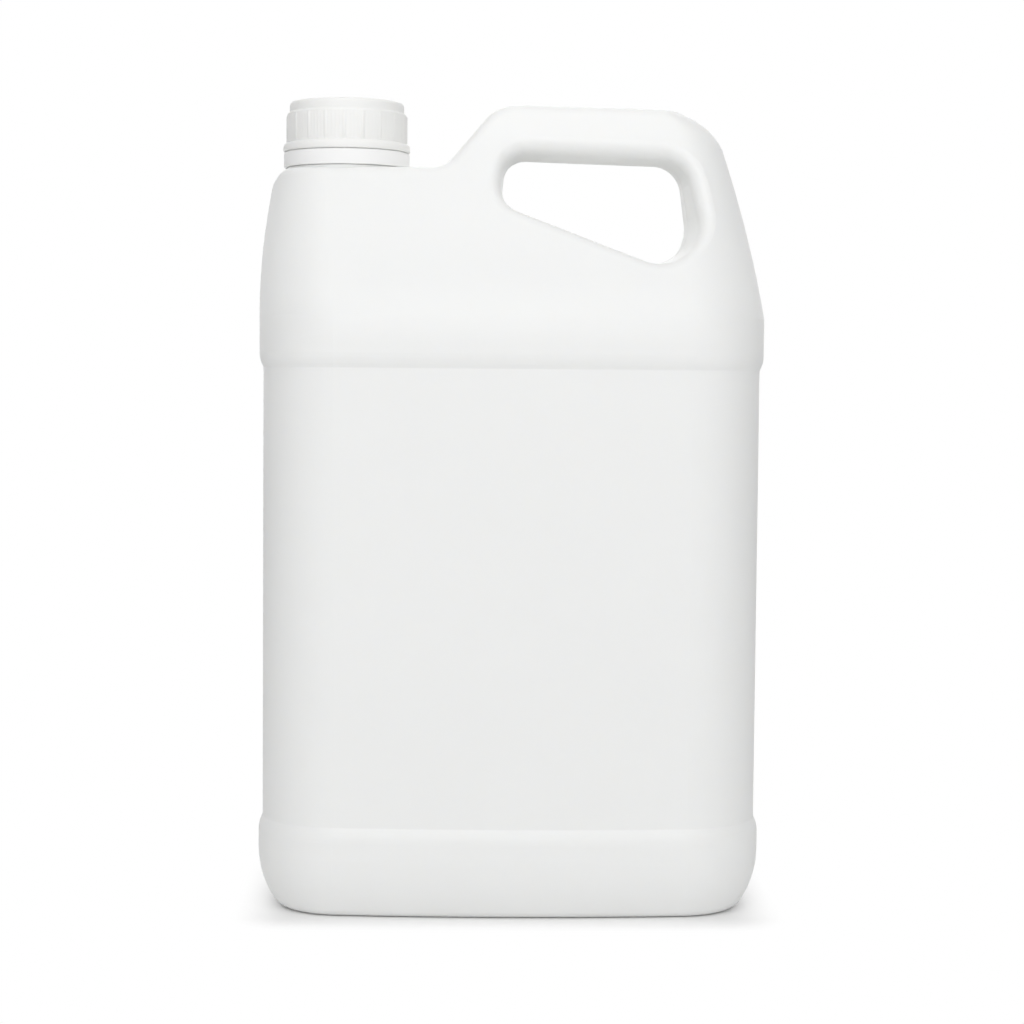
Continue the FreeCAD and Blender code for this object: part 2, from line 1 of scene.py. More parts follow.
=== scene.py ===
"""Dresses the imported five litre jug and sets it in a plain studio.

Everything is in metres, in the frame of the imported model: +Z is up, +X points to the
back of the handle and -Y to the viewer.  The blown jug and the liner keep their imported
shapes.  The screw cap and the tamper ring are turned again here about the axes of their
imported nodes, with softer edges, grip ribs and a thin skirt below the ring.  A low collar
is added under the ring, and the mould's parting line is laid along the jug's own outline.
"""
import logging
import math
from dataclasses import dataclass
from enum import Enum
from typing import NamedTuple

import bmesh
import bpy
from mathutils import Matrix, Vector, kdtree
from mathutils.bvhtree import BVHTree


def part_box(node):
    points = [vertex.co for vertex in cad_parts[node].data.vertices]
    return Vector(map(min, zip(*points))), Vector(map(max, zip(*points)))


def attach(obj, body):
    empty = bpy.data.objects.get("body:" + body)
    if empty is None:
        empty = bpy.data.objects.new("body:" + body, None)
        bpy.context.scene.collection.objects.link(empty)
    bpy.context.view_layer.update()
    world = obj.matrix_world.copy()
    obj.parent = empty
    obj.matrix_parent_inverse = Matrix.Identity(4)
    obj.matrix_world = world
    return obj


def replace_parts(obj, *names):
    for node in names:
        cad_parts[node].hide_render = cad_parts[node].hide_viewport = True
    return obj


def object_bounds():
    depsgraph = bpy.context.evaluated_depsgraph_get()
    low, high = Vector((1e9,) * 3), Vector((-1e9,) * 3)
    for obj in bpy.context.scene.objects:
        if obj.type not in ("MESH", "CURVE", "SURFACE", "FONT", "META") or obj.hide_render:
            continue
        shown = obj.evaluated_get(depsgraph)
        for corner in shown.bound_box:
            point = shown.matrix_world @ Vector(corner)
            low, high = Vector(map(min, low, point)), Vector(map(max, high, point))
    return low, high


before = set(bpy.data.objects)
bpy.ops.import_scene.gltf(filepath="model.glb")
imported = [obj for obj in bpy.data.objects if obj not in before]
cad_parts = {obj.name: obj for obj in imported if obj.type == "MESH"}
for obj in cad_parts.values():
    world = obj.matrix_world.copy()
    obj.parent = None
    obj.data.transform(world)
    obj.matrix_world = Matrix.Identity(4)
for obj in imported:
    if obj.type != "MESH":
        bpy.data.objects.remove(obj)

CAD_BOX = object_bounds()
MM = 0.001
FULL_TURN = 2 * math.pi
UP = Vector((0.0, 0.0, 1.0))
WHITE = (1.0, 1.0, 1.0, 1.0)
MERGE = 0.0005 * MM    # points of a turned shape closer than this are one
ON_SPOT = 0.001 * MM   # a point closer than this to an axis or a plane lies in it
SLACK = 0.01 * MM      # how far a point may lie off the place where it is looked for
log = logging.getLogger("jug")

Socket = bpy.types.NodeSocket
Feed = float | tuple[float, ...] | bpy.types.NodeSocket


class Body(Enum):
    """The moving bodies that pieces made here ride on."""

    JUG = "jug"
    CAP = "cap"


class Rib(Enum):
    """The two kinds of grip rib: how far each stands out, and how full its flanks are."""

    FINE = (0.15 * MM, 0.5)
    BOLD = (0.42 * MM, 0.85)


# --------------------------------------------------------------------------------------
# Finishes
# --------------------------------------------------------------------------------------
class NodeGraph:
    """The nodes and links of one material or of the world."""

    def __init__(self, tree: bpy.types.NodeTree) -> None:
        """Work on a node tree."""
        self.tree = tree

    def add(self, kind: str, inputs: dict[str | int, Feed], **settings: str | bool) -> bpy.types.Node:
        """Add a node and feed it.

        Args:
            kind: The node's type.
            inputs: What each of its inputs gets: a value, or another node's output.
            **settings: The node's own settings, such as its operation.

        Returns:
            The node.
        """
        node = self.tree.nodes.new(kind)
        for setting, value in settings.items():
            setattr(node, setting, value)
        self.feed(node, inputs)
        return node

    def feed(self, node: bpy.types.Node, inputs: dict[str | int, Feed]) -> None:
        """Give a node's inputs their values or sources.

        Args:
            node: The node.
            inputs: What each of its inputs gets: a value, or another node's output.
        """
        for place, source in inputs.items():
            if isinstance(source, bpy.types.NodeSocket):
                self.tree.links.new(source, node.inputs[place])
            else:
                node.inputs[place].default_value = source

    def number(self, operation: str, first: Socket, second: Feed = 0.0) -> Socket:
        """Add one step of arithmetic.

        Args:
            operation: What it does.
            first: The number it works on.
            second: The other number, where it takes one.

        Returns:
            The socket with the result.
        """
        step = self.add("ShaderNodeMath", {0: first, 1: second}, operation=operation)
        return step.outputs["Value"]

    def vector(self, operation: str, first: Socket, second: Feed = (0.0, 0.0, 0.0)) -> bpy.types.Node:
        """Add one step of arithmetic on vectors.

        Args:
            operation: What it does.
            first: The vector it works on.
            second: The other vector, where it takes one.

        Returns:
            The step's node, whose result is at Vector or at Value.
        """
        return self.add("ShaderNodeVectorMath", {0: first, 1: second}, operation=operation)


@dataclass(frozen=True)
class SoftCrease:
    """A level crease whose shading is rounded off, as blowing leaves it."""

    height: float
    reach: float                   # how far above and below it the rounding goes
    lean: float                    # the angle between the faces that meet there
    onset: tuple[float, float]     # how far in front or behind the middle it starts, and is full

    def bump(self, graph: NodeGraph, place: Socket, normal: Socket) -> Socket:
        """Turn the skin's direction steadily from one face to the other.

        Args:
            graph: The material's graph.
            place: The socket with the Object coordinates.
            normal: The socket with the skin's direction so far.

        Returns:
            The socket with the rounded direction.
        """
        along = graph.add("ShaderNodeSeparateXYZ", {"Vector": place})
        above = graph.number("SUBTRACT", along.outputs["Z"], self.height)
        near = graph.add("ShaderNodeMapRange", {
            "Value": graph.number("ABSOLUTE", above),
            "From Max": self.reach,
            "To Min": 1.0,
            "To Max": 0.0,
        })
        share = graph.add("ShaderNodeMapRange", {
            "Value": graph.number("ABSOLUTE", along.outputs["Y"]),
            "From Min": self.onset[0],
            "From Max": self.onset[1],
        })
        bump = graph.add("ShaderNodeBump", {
            "Strength": share.outputs["Result"],
            "Distance": self.reach * math.tan(self.lean / 2) / 2,
            "Height": graph.number("POWER", near.outputs["Result"], 2.0),
            "Normal": normal,
        }, invert=True)
        return bump.outputs["Normal"]


@dataclass(frozen=True)
class Plastic:
    """A satin plastic: its colour drifts a little and its skin is faintly uneven."""

    name: str
    colour: tuple[float, float, float]
    roughness: float
    skin_size: float               # grain of the fine unevenness
    skin_depth: float = 0.004 * MM
    colour_drift: float = 0.012    # how far the colour drifts from place to place
    gloss_drift: float = 0.05
    cloud_size: float = 60 * MM    # grain of the drift in colour
    patch_size: float = 14 * MM    # grain of the drift in gloss
    ior: float = 1.5
    shine: float = 0.5             # how strongly the skin reflects
    translucency: float = 0.1
    glow_depth: float = 3 * MM     # how deep light travels under the skin
    glow_tint: tuple[float, float, float] = (1.0, 0.9, 0.75)
    creases: tuple[SoftCrease, ...] = ()

    def material(self) -> bpy.types.Material:
        """Make the node material.

        Returns:
            The material, which reads Object coordinates only.
        """
        material = bpy.data.materials.new(self.name)
        material.use_nodes = True
        graph = NodeGraph(material.node_tree)
        place = graph.add("ShaderNodeTexCoord", {}).outputs["Object"]
        tint = graph.add("ShaderNodeMix", {
            "Factor": self._noise(graph, place, self.cloud_size, detail=2.0),
            "A": self._shade(1 - self.colour_drift),
            "B": self._shade(1 + self.colour_drift),
        }, data_type="RGBA")
        gloss = graph.add("ShaderNodeMapRange", {
            "Value": self._noise(graph, place, self.patch_size, detail=3.0),
            "To Min": self.roughness - self.gloss_drift,
            "To Max": self.roughness + self.gloss_drift,
        })
        skin = graph.add("ShaderNodeBump", {
            "Distance": self.skin_depth,
            "Height": self._noise(graph, place, self.skin_size, detail=1.0),
        }).outputs["Normal"]
        for crease in self.creases:
            skin = crease.bump(graph, place, skin)
        graph.feed(material.node_tree.nodes["Principled BSDF"], {
            "Base Color": tint.outputs["Result"],
            "Roughness": gloss.outputs["Result"],
            "IOR": self.ior,
            "Specular IOR Level": self.shine,
            "Subsurface Weight": self.translucency,
            "Subsurface Radius": self.glow_tint,
            "Subsurface Scale": self.glow_depth,
            "Normal": skin,
        })
        return material

    def _shade(self, factor: float) -> tuple[float, float, float, float]:
        """Return the colour made lighter or darker by a factor, never above white."""
        red, green, blue = (min(part * factor, 1.0) for part in self.colour)
        return (red, green, blue, 1.0)

    @staticmethod
    def _noise(graph: NodeGraph, place: Socket, size: float, detail: float) -> Socket:
        """Add a noise of a given grain.

        Args:
            graph: The material's graph.
            place: The socket with the coordinates.
            size: Grain in metres.
            detail: Octaves of finer grain.

        Returns:
            The noise's factor socket.
        """
        noise = graph.add("ShaderNodeTexNoise", {"Vector": place, "Scale": 1 / size, "Detail": detail})
        return noise.outputs["Fac"]


SHOULDER_CREASE = SoftCrease(height=223 * MM, reach=10 * MM, lean=math.radians(31),
                             onset=(34 * MM, 50 * MM))
BLOWN_JUG = Plastic("blown_jug_plastic", (0.905, 0.908, 0.893), roughness=0.42, skin_size=0.9 * MM,
                    translucency=0.2, creases=(SHOULDER_CREASE,))
MOULDED_CAP = Plastic("moulded_cap_plastic", (0.905, 0.905, 0.89), roughness=0.5,
                      skin_size=0.6 * MM, shine=0.3)
# The ring's colour is partly its own white and partly painted light. It is paler than the cap, standing in
# for light bounced up from the shelf and passing through the plastic.
RING_WITH_PAINTED_BOUNCE = Plastic("ring_plastic_painted_bounce", (0.955, 0.955, 0.95), roughness=0.5,
                       skin_size=0.6 * MM, shine=0.3)
LINER_FOAM = Plastic("liner_foam", (0.93, 0.93, 0.92), roughness=0.7, skin_size=0.3 * MM,
                     skin_depth=0.02 * MM)


# --------------------------------------------------------------------------------------
# Making pieces
# --------------------------------------------------------------------------------------
class Corner(NamedTuple):
    """A corner of a section that is turned about the upright axis."""

    radius: float
    height: float
    rounding: float = 0.0


def dress(node: str, finish: Plastic) -> None:
    """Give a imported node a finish, keeping its shape.

    Args:
        node: The node's name.
        finish: What it is made of.
    """
    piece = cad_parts[node]
    piece.data.materials.clear()
    piece.data.materials.append(finish.material())
    log.info("%s: packed shape, dressed in %s", node, finish.name)


def finished(name: str, shape: bmesh.types.BMesh, finish: Plastic, body: Body,
             crease: float = math.radians(50)) -> bpy.types.Object:
    """Turn a finished shape into a piece that rides on a body.

    Args:
        name: The piece's name.
        shape: Its shape, in place; it is freed.
        finish: What it is made of.
        body: The body it moves with.
        crease: Edges bent by more than this stay sharp.

    Returns:
        The piece.
    """
    mesh = bpy.data.meshes.new(name)
    shape.to_mesh(mesh)
    shape.free()
    mesh.shade_smooth()
    mesh.set_sharp_from_angle(angle=crease)
    mesh.materials.append(finish.material())
    piece = bpy.data.objects.new(name, mesh)
    bpy.context.scene.collection.objects.link(piece)
    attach(piece, body.value)
    log.info("%s: %d faces, rides on %s", name, len(mesh.polygons), body.value)
    return piece


def turned(section: list[Corner], columns: int, segments: int = 5) -> bmesh.types.BMesh:
    """Turn a section about the upright axis through the origin.

    Args:
        section: The corners of its closed outline.
        columns: Steps round the full turn.
        segments: Steps of each rounded corner.

    Returns:
        The closed turned shape.
    """
    shape = bmesh.new()
    corners = [shape.verts.new((corner.radius, 0.0, corner.height)) for corner in section]
    shape.faces.new(corners)
    for vertex, corner in zip(corners, section):
        if corner.rounding:
            bmesh.ops.bevel(shape, geom=[vertex], affect="VERTICES", offset=corner.rounding,
                            segments=segments, profile=0.5, material=-1)
    bmesh.ops.delete(shape, geom=shape.faces[:], context="FACES_ONLY")
    on_axis = [edge for edge in shape.edges if all(abs(end.co.x) < ON_SPOT for end in edge.verts)]
    bmesh.ops.delete(shape, geom=on_axis, context="EDGES")
    bmesh.ops.spin(shape, geom=shape.verts[:] + shape.edges[:], cent=(0, 0, 0), axis=UP,
                   angle=FULL_TURN, steps=columns, use_merge=True)
    bmesh.ops.remove_doubles(shape, verts=shape.verts[:], dist=MERGE)
    bmesh.ops.recalc_face_normals(shape, faces=shape.faces[:])
    return shape


def stand_on_axis(shape: bmesh.types.BMesh, node: str) -> None:
    """Move a turned shape from the origin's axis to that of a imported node.

    Args:
        shape: The turned shape.
        node: The node's name.
    """
    low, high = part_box(node)
    bmesh.ops.translate(shape, verts=shape.verts[:], vec=((low.x + high.x) / 2, (low.y + high.y) / 2, 0))


def radius_of(vertex: bmesh.types.BMVert) -> float:
    """Return a vertex's distance from the upright axis through the origin."""
    return vertex.co.xy.length


def column_of(vertex: bmesh.types.BMVert, columns: int) -> int:
    """Return which of the evenly spaced columns round the axis a vertex is in."""
    return round(math.atan2(vertex.co.y, vertex.co.x) / FULL_TURN * columns) % columns


# --------------------------------------------------------------------------------------
# Screw cap
# --------------------------------------------------------------------------------------
class Band(NamedTuple):
    """The heights between which the cap is ribbed."""

    foot: float
    top: float


@dataclass
class ScrewCap:
    """The screw cap: a smooth crown, a band of soft grip ribs, a round bead and a thread inside."""

    crown_radius: float = 21.95 * MM
    crown_height: float = 4.0 * MM      # from the top down to the grip band
    crown_rounding: float = 1.5 * MM
    crown_foot_rounding: float = 0.5 * MM
    grip_radius: float = 22.85 * MM     # foot of the ribs
    grip_slope: float = 0.6 * MM        # height over which the crown widens to the grip band
    grip_top_rounding: float = 0.3 * MM
    grip_foot_rounding: float = 0.25 * MM
    rib_ends: float = 0.8 * MM          # height over which a rib rises at its ends
    rib_count: int = 100
    ribs_per_group: int = 5             # every fifth rib is a bold one
    columns_per_rib: int = 4
    bead_radius: float = 24.35 * MM
    bead_height: float = 3.2 * MM
    bead_rounding: float = 1.55 * MM
    bead_root: float = 0.1 * MM         # from the top of the bead up to the grip band
    foot_rounding: float = 0.7 * MM     # of the bead's lower edge
    bore_radius: float = 20.5 * MM
    bore_rounding: float = 0.3 * MM     # at its mouth
    ceiling_rounding: float = 0.4 * MM  # where the bore meets the top
    top_thickness: float = 1.6 * MM
    thread_rise: float = 2.0 * MM       # from the cap's foot to the middle of the ridge's start
    thread_pitch: float = 4.5 * MM
    thread_turns: float = 1.75
    thread_depth: float = 1.2 * MM
    thread_foot: float = 2.0 * MM       # the ridge's width at the wall
    thread_crest: float = 0.9 * MM
    thread_sunk: float = 0.45 * MM      # how deep the ridge's foot is sunk into the wall
    columns_per_turn: int = 96

    def build(self) -> None:
        """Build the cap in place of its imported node."""
        low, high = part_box("screw_cap")
        grip = Band(foot=low.z + self.bead_height + self.bead_root,
                    top=high.z - self.crown_height - self.grip_slope)
        shape = self.shell(low.z, high.z, grip)
        self.raise_ribs(shape, grip)
        self.add_thread(shape, low.z + self.thread_rise)
        stand_on_axis(shape, "screw_cap")
        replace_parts(finished("moulded_screw_cap", shape, MOULDED_CAP, Body.CAP), "screw_cap")

    def shell(self, foot: float, top: float, grip: Band) -> bmesh.types.BMesh:
        """Turn the cap's shell.

        Args:
            foot: Height of its lower edge.
            top: Height of its top.
            grip: The band for the ribs.

        Returns:
            The shell about the origin's axis, its grip band still smooth.
        """
        return turned([
            Corner(0.0, top),
            Corner(self.crown_radius, top, self.crown_rounding),
            Corner(self.crown_radius, top - self.crown_height, self.crown_foot_rounding),
            Corner(self.grip_radius, grip.top, self.grip_top_rounding),
            Corner(self.grip_radius, grip.top - self.rib_ends),
            Corner(self.grip_radius, grip.foot + self.rib_ends),
            Corner(self.grip_radius, grip.foot, self.grip_foot_rounding),
            Corner(self.bead_radius, foot + self.bead_height, self.bead_rounding),
            Corner(self.bead_radius, foot, self.foot_rounding),
            Corner(self.bore_radius, foot, self.bore_rounding),
            Corner(self.bore_radius, top - self.top_thickness, self.ceiling_rounding),
            Corner(0.0, top - self.top_thickness),
        ], columns=self.rib_count * self.columns_per_rib)

    def raise_ribs(self, shape: bmesh.types.BMesh, grip: Band) -> None:
        """Push the columns of the grip band outwards into ribs.

        Args:
            shape: The turned shell.
            grip: The band for the ribs.
        """
        columns = self.rib_count * self.columns_per_rib
        lowest = grip.foot + self.rib_ends - SLACK
        highest = grip.top - self.rib_ends + SLACK
        for vertex in shape.verts:
            if lowest < vertex.co.z < highest and abs(radius_of(vertex) - self.grip_radius) < SLACK:
                rib, across = divmod(column_of(vertex, columns) + 1, self.columns_per_rib)
                kind = Rib.FINE if rib % self.ribs_per_group else Rib.BOLD
                height, fullness = kind.value
                reach = self.grip_radius + height * (fullness, 1.0, fullness, 0.0)[across]
                vertex.co.xy *= reach / self.grip_radius

    def add_thread(self, shape: bmesh.types.BMesh, middle: float) -> None:
        """Wind the thread's ridge up the inside of the wall.

        Args:
            shape: The cap's shape, to which the ridge is added.
            middle: Height of the ridge's middle where it starts.
        """
        root = self.bore_radius + self.thread_sunk
        crest = self.bore_radius - self.thread_depth
        corners = [
            shape.verts.new((root, 0, middle - self.thread_foot / 2)),
            shape.verts.new((crest, 0, middle - self.thread_crest / 2)),
            shape.verts.new((crest, 0, middle + self.thread_crest / 2)),
            shape.verts.new((root, 0, middle + self.thread_foot / 2)),
        ]
        shell = set(shape.faces)
        face = shape.faces.new(corners)
        bmesh.ops.spin(shape, geom=corners + list(face.edges) + [face], cent=(0, 0, 0), axis=UP,
                       dvec=UP * self.thread_pitch / self.columns_per_turn,
                       angle=FULL_TURN * self.thread_turns,
                       steps=round(self.columns_per_turn * self.thread_turns))
        ridge = [piece for piece in shape.faces if piece not in shell]
        bmesh.ops.recalc_face_normals(shape, faces=ridge)


# --------------------------------------------------------------------------------------
# Tamper ring and collar
# --------------------------------------------------------------------------------------
@dataclass
class TamperRing:
    """The ring below the cap, caught under the neck's bead, with the bridges that reach for the cap."""

    radius: float = 24.15 * MM
    bore_radius: float = 19.2 * MM
    bore_rounding: float = 0.3 * MM    # at its lower edge
    wall: float = 1.5 * MM
    skirt_radius: float = 22.0 * MM    # inside of the thin skirt that hangs over the collar
    skirt_drop: float = 0.7 * MM
    skirt_rounding: float = 0.2 * MM   # of its inner edge
    foot_rounding: float = 0.5 * MM
    top_rounding: float = 0.15 * MM
    catch_height: float = 1.4 * MM     # height of the catch that grips the neck's bead
    catch_rounding: float = 0.2 * MM   # where it meets the wall
    lip_radius: float = 23.6 * MM      # the wall's thin inner lip, which shuts the gap to the cap
    lip_rounding: float = 0.1 * MM     # at its foot
    lip_drop: float = 0.08 * MM        # from the top of the bridges down to the lip
    rim_drop: float = 0.42 * MM        # from the top of the bridges down to the outer rim
    bridge_count: int = 12
    bridge_columns: int = 2
    columns: int = 360

    def build(self) -> None:
        """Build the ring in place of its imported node."""
        low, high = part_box("tamper_ring")
        lip = high.z - self.lip_drop
        rim = high.z - self.rim_drop
        inside = self.radius - self.wall
        shape = turned([
            Corner(self.bore_radius, low.z, self.bore_rounding),
            Corner(self.skirt_radius, low.z),
            Corner(self.skirt_radius, low.z - self.skirt_drop, self.skirt_rounding),
            Corner(self.radius, low.z - self.skirt_drop, self.foot_rounding),
            Corner(self.radius, rim, self.top_rounding),
            Corner(self.lip_radius, rim, self.lip_rounding),
            Corner(self.lip_radius, lip),
            Corner(inside, lip),
            Corner(inside, low.z + self.catch_height, self.catch_rounding),
            Corner(self.bore_radius, low.z + self.catch_height),
        ], columns=self.columns)
        self.raise_bridges(shape, lip, high.z - lip)
        stand_on_axis(shape, "tamper_ring")
        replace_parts(finished("moulded_tamper_ring", shape, RING_WITH_PAINTED_BOUNCE, Body.JUG), "tamper_ring")

    def raise_bridges(self, shape: bmesh.types.BMesh, lip: float, rise: float) -> None:
        """Pull the bridges up out of the lip.

        Args:
            shape: The turned ring.
            lip: Height of the lip.
            rise: How far a bridge stands above it.
        """
        bridges = [face for face in shape.faces if self.is_bridge(face, lip)]
        grown = bmesh.ops.extrude_face_region(shape, geom=bridges)["geom"]
        tops = [item for item in grown if isinstance(item, bmesh.types.BMVert)]
        bmesh.ops.translate(shape, verts=tops, vec=UP * rise)
        bmesh.ops.delete(shape, geom=[face for face in bridges if face.is_valid], context="FACES_ONLY")
        bmesh.ops.recalc_face_normals(shape, faces=shape.faces[:])

    def is_bridge(self, face: bmesh.types.BMFace, lip: float) -> bool:
        """Tell whether a bridge rises from a face.

        Args:
            face: A face of the turned ring.
            lip: Height of the lip.

        Returns:
            True when it lies in the lip, in the columns of a bridge.
        """
        spacing = self.columns // self.bridge_count
        steps = [column_of(corner, self.columns) % spacing for corner in face.verts]
        flat = all(abs(corner.co.z - lip) < SLACK for corner in face.verts)
        return flat and min(steps) < self.bridge_columns and max(steps) <= self.bridge_columns


@dataclass
class NeckCollar:
    """The jug's low collar under the ring, whose level foot ends above the shelf where that falls away."""

    ring: TamperRing
    radius: float = 23.2 * MM
    depth: float = 2.6 * MM            # from the ring's foot down to the collar's
    gap: float = 0.15 * MM             # between the collar and the ring's skirt
    top_rounding: float = 0.2 * MM

    def build(self) -> None:
        """Build the collar on the jug's neck."""
        low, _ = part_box("tamper_ring")
        foot = low.z - self.depth
        top = low.z - self.ring.skirt_drop - self.gap
        shape = turned([
            Corner(self.ring.bore_radius, foot),
            Corner(self.radius, foot),
            Corner(self.radius, top, self.top_rounding),
            Corner(self.ring.bore_radius, top),
        ], columns=self.ring.columns)
        stand_on_axis(shape, "tamper_ring")
        finished("neck_collar", shape, BLOWN_JUG, Body.JUG)


# --------------------------------------------------------------------------------------
# Blown jug
# --------------------------------------------------------------------------------------
@dataclass
class BlownJug:
    """The blown jug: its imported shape, and the fine line where the two halves of its mould met."""

    line_width: float = 0.7 * MM
    line_height: float = 0.10 * MM
    line_sunk: float = 0.15 * MM
    clear_of_floor: float = 2.0 * MM
    clear_of_axis: float = 25.0 * MM   # the line stops this far from the neck's axis, under the cap,
    clear_of_ring: float = 2.0 * MM    # and this far below the ring
    look_from: float = 0.3 * MM        # how far off the skin its surroundings are looked at

    def build(self) -> None:
        """Dress the jug and lay its parting line."""
        dress("jug_body", BLOWN_JUG)
        finished("mould_parting_line", self.parting_line(), BLOWN_JUG, Body.JUG, crease=math.pi)

    def parting_line(self) -> bmesh.types.BMesh:
        """Follow the jug's outside where the mould's plane cuts it, and make a low ridge there.

        Returns:
            The ridge: an open strip of two flanks, whose outer edges are sunk into the jug's skin.
        """
        skin = bmesh.new()
        skin.from_mesh(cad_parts["jug_body"].data)
        bmesh.ops.remove_doubles(skin, verts=skin.verts[:], dist=ON_SPOT)
        tree = BVHTree.FromBMesh(skin)
        cut = bmesh.ops.bisect_plane(skin, geom=skin.verts[:] + skin.edges[:] + skin.faces[:],
                                     dist=ON_SPOT, plane_co=(0, 0, 0), plane_no=(0, 1, 0))["geom_cut"]
        skin.normal_update()
        low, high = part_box("tamper_ring")
        neck = Vector(((low.x + high.x) / 2, 0.0, low.z))
        edges = [item for item in cut if isinstance(item, bmesh.types.BMEdge)]
        line = {edge for edge in edges if self.is_outside(edge, neck, tree)}
        away = {end: end.normal.copy() for edge in line for end in edge.verts}
        bmesh.ops.delete(skin, geom=[edge for edge in skin.edges if edge not in line], context="EDGES")
        crest = kdtree.KDTree(len(away))
        for number, (end, normal) in enumerate(away.items()):
            normal.y = 0.0
            end.co += normal.normalized() * self.line_height
            crest.insert(end.co, number)
        crest.balance()
        normals = [normal.normalized() for normal in away.values()]
        flanks = []
        for side in (-1, 1):
            grown = bmesh.ops.extrude_edge_only(skin, edges=list(line))["geom"]
            flank = [item for item in grown if isinstance(item, bmesh.types.BMVert)]
            bmesh.ops.translate(skin, verts=flank, vec=(0, side * self.line_width / 2, 0))
            flanks += flank
        for end in flanks:
            end.co -= normals[crest.find(end.co)[1]] * (self.line_height + self.line_sunk)
        bmesh.ops.recalc_face_normals(skin, faces=skin.faces[:])
        return skin

    def is_outside(self, edge: bmesh.types.BMEdge, neck: Vector, tree: BVHTree) -> bool:
        """Tell whether an edge of the cut lies on the jug's outside and clear of floor and cap.

        Args:
            edge: An edge in the mould's plane.
            neck: The middle of the ring's foot on the neck.
            tree: The jug's whole surface, to look for walls in front and behind.

        Returns:
            True when nothing stands before or behind it.
        """
        middle = (edge.verts[0].co + edge.verts[1].co) / 2
        under_cap = abs(middle.x - neck.x) < self.clear_of_axis and middle.z > neck.z - self.clear_of_ring
        if under_cap or middle.z < self.clear_of_floor:
            return False
        outwards = edge.verts[0].normal + edge.verts[1].normal
        outwards.y = 0.0
        start = middle + outwards.normalized() * self.look_from
        return all(tree.ray_cast(start, Vector((0, side, 0)))[0] is None for side in (-1, 1))


# --------------------------------------------------------------------------------------
# Studio
# --------------------------------------------------------------------------------------
@dataclass(frozen=True)
class Softbox:
    """A square lamp."""

    name: str
    place: tuple[float, float, float]
    size: float
    power: float                       # in watts

    def hang(self, aim: Vector) -> None:
        """Hang the lamp in its place.

        Args:
            aim: The point it faces.
        """
        light = bpy.data.lights.new(self.name, "AREA")
        light.shape = "SQUARE"
        light.size = self.size
        light.energy = self.power
        lamp = bpy.data.objects.new(self.name, light)
        spot = Vector(self.place)
        facing = (aim - spot).to_track_quat("-Z", "Y").to_matrix().to_4x4()
        lamp.matrix_world = Matrix.Translation(spot) @ facing
        bpy.context.scene.collection.objects.link(lamp)


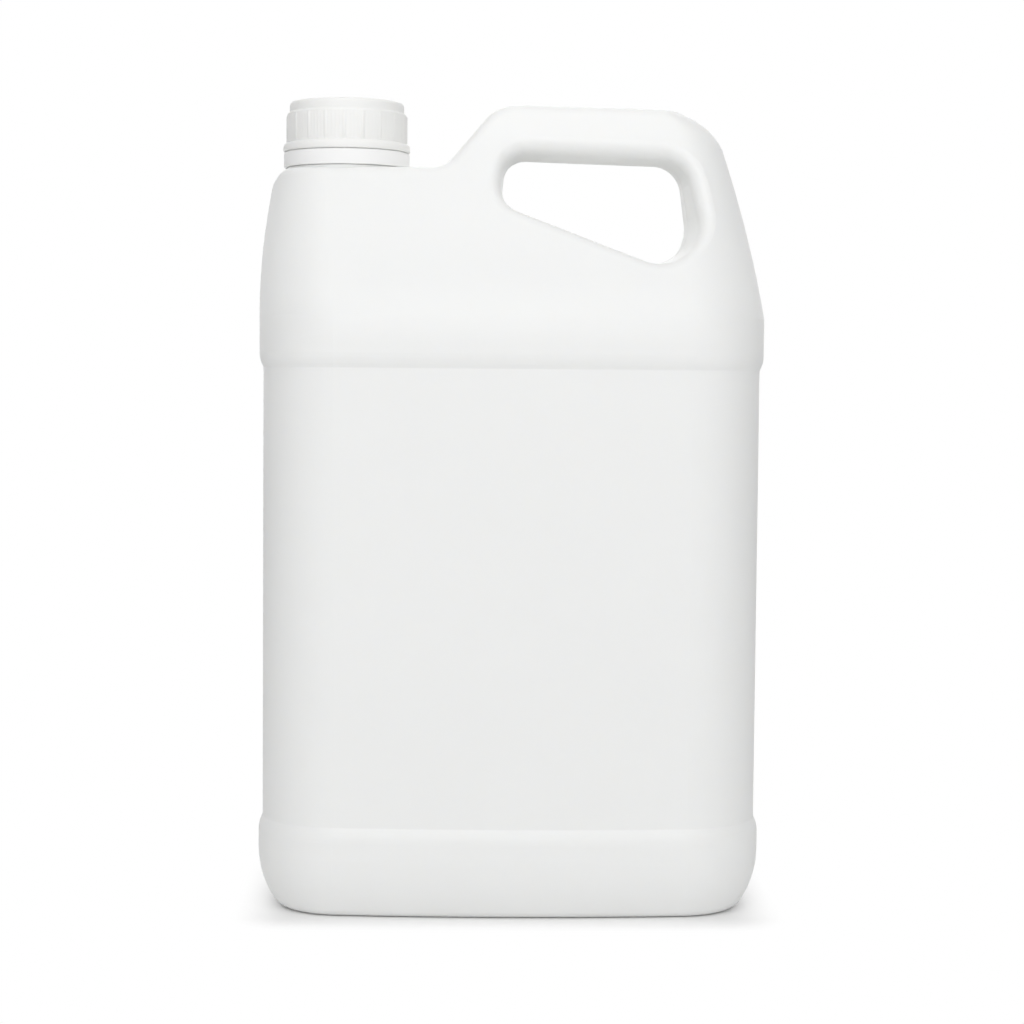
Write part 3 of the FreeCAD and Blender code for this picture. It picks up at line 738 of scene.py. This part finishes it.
@dataclass
class Studio:
    """A pale floor, soft lamps, the light all round, and the camera."""

    floor_size: float = 12.0
    paper: tuple[float, float, float, float] = (0.92, 0.92, 0.92, 1.0)
    paper_roughness: float = 0.9
    footprint: tuple[float, float] = (0.080, 0.048)     # half the jug's length and depth on the floor
    shade_reach: tuple[float, float] = (0.0, 0.024)     # how far off it the shading starts to fade, and ends
    lamps: tuple[Softbox, ...] = (
        Softbox("key", (0.0, -1.5, 1.35), size=1.6, power=15.8),
        Softbox("top", (0.0, -0.2, 1.9), size=1.6, power=9.0),
        Softbox("back", (0.0, 1.4, 1.5), size=1.2, power=4.0),
    )
    sky_sides: float = 0.30
    sky_front: float = 0.9
    sky_back: float = 1.45
    distance: float = 0.8919           # from the middle of the jug to the camera, along the floor
    height: float = 0.2025
    aside: float = 0.0015
    turn: float = math.radians(1.26)   # how far the jug stands turned to the camera
    tilt: float = math.radians(3.484)
    roll: float = math.radians(0.487)
    pan: float = math.radians(0.0325)  # to the left
    lens: float = 80.625
    sensor_width: float = 36.0

    def build(self) -> None:
        """Build the floor, the lights, the world and the camera."""
        self.floor()
        for lamp in self.lamps:
            lamp.hang(Vector((0.0, 0.0, (CAD_BOX[0].z + CAD_BOX[1].z) / 2)))
        self.world()
        self.camera()
        bpy.context.scene.view_settings.view_transform = "Standard"

    def floor(self) -> None:
        """Lay the floor, which the camera sees as white away from the jug."""
        shape = bmesh.new()
        bmesh.ops.create_grid(shape, x_segments=1, y_segments=1, size=self.floor_size / 2)
        mesh = bpy.data.meshes.new("floor")
        shape.to_mesh(mesh)
        shape.free()
        floor = bpy.data.objects.new("floor", mesh)
        bpy.context.scene.collection.objects.link(floor)
        mesh.materials.append(self.floor_paper())

    def floor_paper(self) -> bpy.types.Material:
        """Make the floor's paper, which shows its shading round the jug and fades to white further off.

        Returns:
            The material.
        """
        material = bpy.data.materials.new("floor_paper")
        material.use_nodes = True
        nodes = material.node_tree.nodes
        graph = NodeGraph(material.node_tree)
        place = graph.add("ShaderNodeTexCoord", {}).outputs["Object"]
        side = graph.vector("ABSOLUTE", place).outputs["Vector"]
        outside = graph.vector("SUBTRACT", side, (*self.footprint, 0.0)).outputs["Vector"]
        beyond = graph.vector("MAXIMUM", outside).outputs["Vector"]
        fade = graph.add("ShaderNodeMapRange", {
            "Value": graph.vector("LENGTH", beyond).outputs["Value"],
            "From Min": self.shade_reach[0],
            "From Max": self.shade_reach[1],
        }, interpolation_type="SMOOTHSTEP")
        path = graph.add("ShaderNodeLightPath", {})
        paper = nodes["Principled BSDF"]
        graph.feed(paper, {"Base Color": self.paper, "Roughness": self.paper_roughness})
        glow = graph.add("ShaderNodeEmission", {"Strength": 1.0})
        blend = graph.add("ShaderNodeMixShader", {
            "Fac": graph.number("MULTIPLY", path.outputs["Is Camera Ray"], fade.outputs["Result"]),
            1: paper.outputs["BSDF"],
            2: glow.outputs["Emission"],
        })
        graph.feed(nodes["Material Output"], {"Surface": blend.outputs["Shader"]})
        return material

    def world(self) -> None:
        """Surround the jug with light that the camera sees as white.

        Its level follows the direction: the sides, the front and the back each have their
        own, and straight above and below it is dark.
        """
        world = bpy.data.worlds.new("studio")
        bpy.context.scene.world = world
        world.use_nodes = True
        world.node_tree.nodes.clear()
        graph = NodeGraph(world.node_tree)
        toward = graph.add("ShaderNodeTexCoord", {}).outputs["Generated"]
        square = graph.vector("MULTIPLY", toward, toward).outputs["Vector"]
        along = graph.add("ShaderNodeSeparateXYZ", {"Vector": toward})
        depth = graph.add("ShaderNodeMapRange", {
            "Value": graph.number("GREATER_THAN", along.outputs["Y"], 0.0),
            "To Min": self.sky_front,
            "To Max": self.sky_back,
        })
        weights = graph.add("ShaderNodeCombineXYZ", {"X": self.sky_sides, "Y": depth.outputs["Result"]})
        level = graph.vector("DOT_PRODUCT", square, weights.outputs["Vector"]).outputs["Value"]
        sky = graph.add("ShaderNodeBackground", {"Color": WHITE, "Strength": level})
        white = graph.add("ShaderNodeBackground", {"Color": WHITE, "Strength": 1.0})
        path = graph.add("ShaderNodeLightPath", {})
        blend = graph.add("ShaderNodeMixShader", {
            "Fac": path.outputs["Is Camera Ray"],
            1: sky.outputs["Background"],
            2: white.outputs["Background"],
        })
        graph.add("ShaderNodeOutputWorld", {"Surface": blend.outputs["Shader"]})

    def camera(self) -> None:
        """Stand the camera a little above the middle of the jug, looking slightly down."""
        lens = bpy.data.cameras.new("camera")
        lens.lens = self.lens
        lens.sensor_width = self.sensor_width
        camera = bpy.data.objects.new("camera", lens)
        stand = (Matrix.Rotation(-self.turn, 4, "Z")
                 @ Matrix.Translation((self.aside, -self.distance, self.height)))
        look = (Matrix.Rotation(self.pan, 4, "Z") @ Matrix.Rotation(math.pi / 2 - self.tilt, 4, "X")
                @ Matrix.Rotation(self.roll, 4, "Z"))
        camera.matrix_world = stand @ look
        bpy.context.scene.collection.objects.link(camera)
        bpy.context.scene.camera = camera


def main() -> None:
    """Build the pieces in order and report each."""
    logging.basicConfig(level=logging.INFO, format="%(message)s")
    BlownJug().build()
    ScrewCap().build()
    ring = TamperRing()
    ring.build()
    NeckCollar(ring).build()
    dress("cap_liner", LINER_FOAM)
    Studio().build()


if __name__ == "__main__":
    main()
